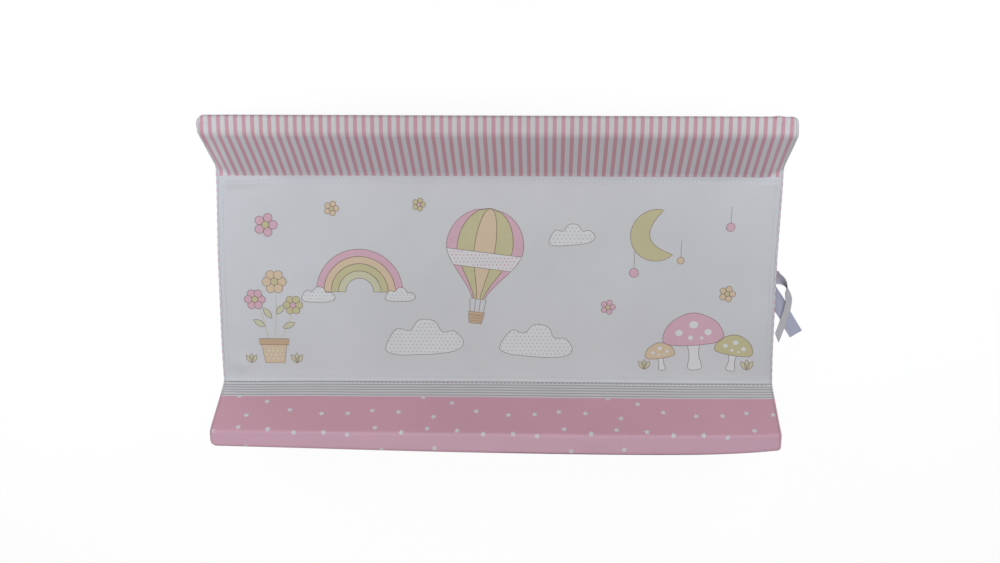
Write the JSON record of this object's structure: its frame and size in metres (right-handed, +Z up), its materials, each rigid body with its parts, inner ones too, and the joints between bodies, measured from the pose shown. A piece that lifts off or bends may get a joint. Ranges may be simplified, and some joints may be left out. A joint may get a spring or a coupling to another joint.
{
  "type": "baby changing mat",
  "caption": "Baby changing mat: a flat foam pad on a stiff base between two raised foam bolsters, in a sewn printed film cover with ribbon ties at one end.",
  "frame": {"origin": "middle of the mat's underside, on the surface that it lies on", "axes": "+X along the mat's length, towards the end with the ties; +Y towards the striped back bolster; +Z up"},
  "size_m": [0.8462, 0.4704, 0.1001],
  "materials": {
    "hardboard": "raw pressed hardboard",
    "foam": "open-cell polyurethane foam",
    "printed_film": "satin printed wipe-clean film",
    "striped_film": "satin striped wipe-clean film",
    "underside_film": "plain satin film",
    "grosgrain": "ribbed woven ribbon"
  },
  "bodies": {
    "mat": {"base_board": "hardboard", "pad_foam": "foam", "back_bolster_foam": "foam", "front_bolster_foam": "foam", "top_cover": "printed_film", "back_side_panel": "striped_film", "front_side_panel": "striped_film", "left_end_panel": "striped_film", "right_end_panel": "striped_film", "underside_panel": "underside_film", "upper_tie_root": "grosgrain", "lower_tie_root": "grosgrain"},
    "upper_tie": {"upper_tie_tail": "grosgrain"},
    "lower_tie": {"lower_tie_tail": "grosgrain"}
  },
  "joints": [
    {"name": "upper_tie_lift", "type": "hinge", "parent": "mat", "child": "upper_tie", "pos_m": [0.4035, -0.002, 0.0003], "axis": [0, -1, 0], "range_deg": [0, 60]},
    {"name": "lower_tie_lift", "type": "hinge", "parent": "mat", "child": "lower_tie", "pos_m": [0.4035, -0.03131, 0.0003], "axis": [0, -1, 0], "range_deg": [0, 48]}
  ],
  "couplings": [
    {"joint": "lower_tie_lift", "follows": "upper_tie_lift", "ratio": 0.8}
  ]
}
